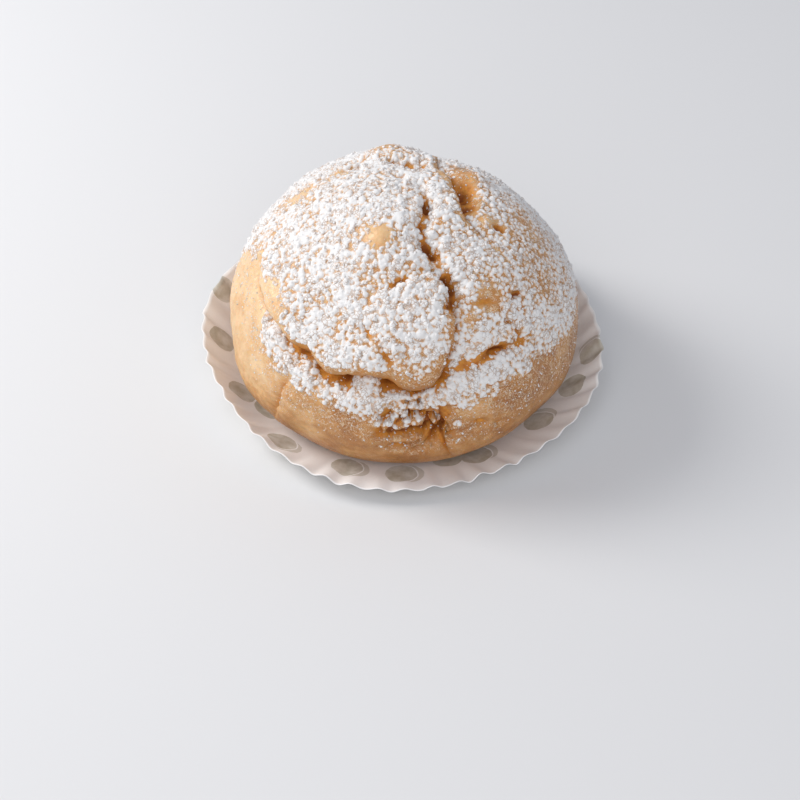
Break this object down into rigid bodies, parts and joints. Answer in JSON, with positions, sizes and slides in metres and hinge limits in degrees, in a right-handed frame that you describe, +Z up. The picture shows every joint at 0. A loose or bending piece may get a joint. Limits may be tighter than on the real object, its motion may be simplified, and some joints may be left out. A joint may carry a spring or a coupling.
{
  "type": "cream puff",
  "caption": "Round choux bun with a cracked, sugar-dusted crust, sitting in a flared fluted paper case.",
  "frame": {"origin": "middle of the paper case's flat underside, which is also the lowest level of the part", "axes": "+Z up, the bun's low axis; -Y is the bun's front, with the lip of its top plate; +X its right"},
  "size_m": [0.1056, 0.1019, 0.0602],
  "materials": {
    "crust": "baked golden choux crust, satin to matt, dusted with icing sugar",
    "sugar": "matt white clumps of icing sugar",
    "paper": "thin white baking paper printed with olive-grey dots"
  },
  "bodies": {
    "root": {"puff": "crust", "paper_case": "paper"}
  },
  "joints": []
}
